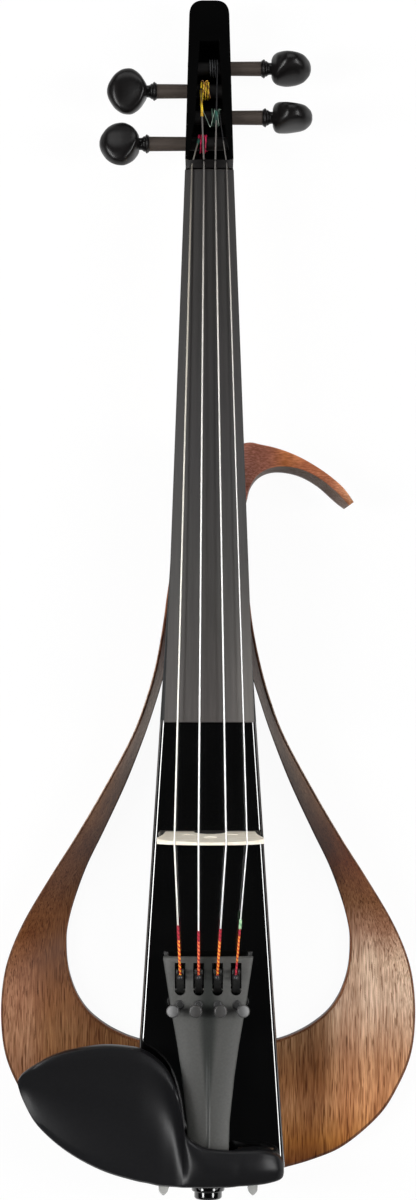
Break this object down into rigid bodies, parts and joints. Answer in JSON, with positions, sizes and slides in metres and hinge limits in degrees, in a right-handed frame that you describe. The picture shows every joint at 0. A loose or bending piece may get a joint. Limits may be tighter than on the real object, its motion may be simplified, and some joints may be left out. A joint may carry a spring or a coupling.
{
  "type": "electric violin",
  "caption": "Electric violin: gloss black wedge core in an open walnut frame with a shoulder hook, long fingerboard, pegbox, bridge, tailpiece with fine tuners and clamped chin rest",
  "frame": {"origin": "on the flat back of the tail block, on the centre line, where the violin lies on its back; 36 mm up from the core's tail edge", "axes": "+X to the treble side, +Y along the violin from the tail to the pegs, +Z from the back to the strings"},
  "size_m": [0.206, 0.5921, 0.0728],
  "materials": {
    "walnut": "satin open pore walnut",
    "black_lacquer": "gloss black lacquer",
    "neck_maple": "satin maple",
    "bridge_maple": "bare maple",
    "fingerboard": "satin oiled",
    "ebony": "polished ebony",
    "gloss_black": "gloss",
    "tailpiece": "satin",
    "satin_black": "satin",
    "chrome": "polished",
    "steel": "satin",
    "string_gold": "wound",
    "string_steel": "wound",
    "silk_crimson": "silk",
    "silk_yellow": "silk",
    "silk_dark": "silk",
    "silk_green": "silk",
    "cork": "bare cork",
    "black_cord": "satin",
    "pickup_film": "foil"
  },
  "bodies": {
    "violin": {"pegbox": "black_lacquer", "fingerboard": "fingerboard", "neck": "neck_maple", "nut": "ebony", "frame_left": "walnut", "frame_right": "walnut", "tail_block": "walnut", "body_core": "black_lacquer", "string_g": "string_gold", "string_d": "string_steel", "string_a": "string_steel", "string_e": "string_steel", "bridge": "bridge_maple", "pickup_strip": "pickup_film", "tailpiece": "tailpiece", "tuner_axle": "steel", "end_saddle": "ebony", "tail_cord": "black_cord", "end_button": "gloss_black", "chin_rest": "satin_black", "chin_cork_left": "cork", "clamp_bracket_left": "chrome", "chin_cork_right": "cork", "clamp_bracket_right": "chrome", "rear_cover": "satin_black", "cover_screw_1": "chrome", "cover_screw_2": "chrome", "cover_screw_3": "chrome", "cover_screw_4": "chrome", "volume_pot": "steel", "output_jack": "chrome", "jack_nut": "chrome", "pickup_lead": "black_cord", "jack_lead": "black_cord"},
    "peg_g_set": {"peg_g": "ebony", "peg_winding_g": "silk_crimson"},
    "peg_d_set": {"peg_d": "ebony", "peg_winding_d": "silk_yellow"},
    "peg_a_set": {"peg_a": "ebony", "peg_winding_a": "silk_dark"},
    "peg_e_set": {"peg_e": "ebony", "peg_winding_e": "silk_green"},
    "tuner_screw_g_set": {"tuner_screw_g": "chrome"},
    "tuner_knob_g_set": {"tuner_knob_g": "satin_black"},
    "tuner_lever_g_set": {"tuner_lever_g": "steel"},
    "tuner_screw_d_set": {"tuner_screw_d": "chrome"},
    "tuner_knob_d_set": {"tuner_knob_d": "satin_black"},
    "tuner_lever_d_set": {"tuner_lever_d": "steel"},
    "tuner_screw_a_set": {"tuner_screw_a": "chrome"},
    "tuner_knob_a_set": {"tuner_knob_a": "satin_black"},
    "tuner_lever_a_set": {"tuner_lever_a": "steel"},
    "tuner_screw_e_set": {"tuner_screw_e": "chrome"},
    "tuner_knob_e_set": {"tuner_knob_e": "satin_black"},
    "tuner_lever_e_set": {"tuner_lever_e": "steel"},
    "clamp_barrel_left_set": {"clamp_barrel_left": "chrome"},
    "clamp_barrel_right_set": {"clamp_barrel_right": "chrome"},
    "clamp_foot_set": {"clamp_foot": "chrome", "clamp_cork": "cork"},
    "volume_knob_set": {"volume_knob": "satin_black"}
  },
  "joints": [
    {"name": "peg_g_turn", "type": "hinge", "parent": "violin", "child": "peg_g_set", "pos_m": [-0.00089, 0.47419, 0.0327], "axis": [1, 0, 0], "continuous": true, "deforming": ["string_g"]},
    {"name": "peg_d_turn", "type": "hinge", "parent": "violin", "child": "peg_d_set", "pos_m": [0.0006, 0.50069, 0.02838], "axis": [1, 0, 0], "continuous": true, "deforming": ["string_d"]},
    {"name": "peg_a_turn", "type": "hinge", "parent": "violin", "child": "peg_a_set", "pos_m": [0.0006, 0.51211, 0.02646], "axis": [1, 0, 0], "continuous": true, "deforming": ["string_a"]},
    {"name": "peg_e_turn", "type": "hinge", "parent": "violin", "child": "peg_e_set", "pos_m": [0.0006, 0.48737, 0.03051], "axis": [1, 0, 0], "continuous": true, "deforming": ["string_e"]},
    {"name": "tuner_screw_g_travel", "type": "slide", "parent": "violin", "child": "tuner_screw_g_set", "axis": [0.2588, 0, -0.9659], "range_m": [-0.002, 0.002]},
    {"name": "tuner_knob_g_turn", "type": "hinge", "parent": "tuner_screw_g_set", "child": "tuner_knob_g_set", "pos_m": [-0.01686, 0.0512, 0.05947], "axis": [0.2588, 0, -0.9659], "range_deg": [-1440, 1440]},
    {"name": "tuner_lever_g_tilt", "type": "hinge", "parent": "violin", "child": "tuner_lever_g_set", "pos_m": [-0.0136, 0.06, 0.0484], "axis": [1, 0, 0], "range_deg": [-13.2, 13.2], "deforming": ["string_g"]},
    {"name": "tuner_screw_d_travel", "type": "slide", "parent": "violin", "child": "tuner_screw_d_set", "axis": [0.1045, 0, -0.9945], "range_m": [-0.002, 0.002]},
    {"name": "tuner_knob_d_turn", "type": "hinge", "parent": "tuner_screw_d_set", "child": "tuner_knob_d_set", "pos_m": [-0.00592, 0.0512, 0.05983], "axis": [0.1045, 0, -0.9945], "range_deg": [-1440, 1440]},
    {"name": "tuner_lever_d_tilt", "type": "hinge", "parent": "violin", "child": "tuner_lever_d_set", "pos_m": [-0.0046, 0.06, 0.0484], "axis": [1, 0, 0], "range_deg": [-13.2, 13.2], "deforming": ["string_d"]},
    {"name": "tuner_screw_a_travel", "type": "slide", "parent": "violin", "child": "tuner_screw_a_set", "axis": [-0.1045, 0, -0.9945], "range_m": [-0.002, 0.002]},
    {"name": "tuner_knob_a_turn", "type": "hinge", "parent": "tuner_screw_a_set", "child": "tuner_knob_a_set", "pos_m": [0.00592, 0.0512, 0.05983], "axis": [-0.1045, 0, -0.9945], "range_deg": [-1440, 1440]},
    {"name": "tuner_lever_a_tilt", "type": "hinge", "parent": "violin", "child": "tuner_lever_a_set", "pos_m": [0.0046, 0.06, 0.0484], "axis": [1, 0, 0], "range_deg": [-13.2, 13.2], "deforming": ["string_a"]},
    {"name": "tuner_screw_e_travel", "type": "slide", "parent": "violin", "child": "tuner_screw_e_set", "axis": [-0.2588, 0, -0.9659], "range_m": [-0.002, 0.002]},
    {"name": "tuner_knob_e_turn", "type": "hinge", "parent": "tuner_screw_e_set", "child": "tuner_knob_e_set", "pos_m": [0.01686, 0.0512, 0.05947], "axis": [-0.2588, 0, -0.9659], "range_deg": [-1440, 1440]},
    {"name": "tuner_lever_e_tilt", "type": "hinge", "parent": "violin", "child": "tuner_lever_e_set", "pos_m": [0.0136, 0.06, 0.0484], "axis": [1, 0, 0], "range_deg": [-13.2, 13.2], "deforming": ["string_e"]},
    {"name": "clamp_barrel_left_turn", "type": "hinge", "parent": "violin", "child": "clamp_barrel_left_set", "pos_m": [-0.0218, -0.038, 0.0135], "axis": [0, 0, 1], "range_deg": [0, 1440]},
    {"name": "clamp_barrel_right_turn", "type": "hinge", "parent": "violin", "child": "clamp_barrel_right_set", "pos_m": [0.0218, -0.038, 0.0135], "axis": [0, 0, 1], "range_deg": [0, 1440]},
    {"name": "clamp_foot_travel", "type": "slide", "parent": "violin", "child": "clamp_foot_set", "axis": [0, 0, -1], "range_m": [0, 0.004]},
    {"name": "volume_knob_turn", "type": "hinge", "parent": "violin", "child": "volume_knob_set", "pos_m": [0, 0.125, 0], "axis": [0, 0, -1], "range_deg": [0, 300]}
  ],
  "couplings": [
    {"joint": "tuner_knob_g_turn", "follows": "tuner_screw_g_travel", "rad_per_m": 12566},
    {"joint": "tuner_lever_g_tilt", "follows": "tuner_screw_g_travel", "rad_per_m": 109.76},
    {"joint": "tuner_knob_d_turn", "follows": "tuner_screw_d_travel", "rad_per_m": 12566},
    {"joint": "tuner_lever_d_tilt", "follows": "tuner_screw_d_travel", "rad_per_m": 113.01},
    {"joint": "tuner_knob_a_turn", "follows": "tuner_screw_a_travel", "rad_per_m": 12566},
    {"joint": "tuner_lever_a_tilt", "follows": "tuner_screw_a_travel", "rad_per_m": 113.01},
    {"joint": "tuner_knob_e_turn", "follows": "tuner_screw_e_travel", "rad_per_m": 12566},
    {"joint": "tuner_lever_e_tilt", "follows": "tuner_screw_e_travel", "rad_per_m": 109.76},
    {"joint": "clamp_barrel_left_turn", "follows": "clamp_foot_travel", "rad_per_m": 6283.1},
    {"joint": "clamp_barrel_right_turn", "follows": "clamp_foot_travel", "rad_per_m": 6283.1}
  ]
}
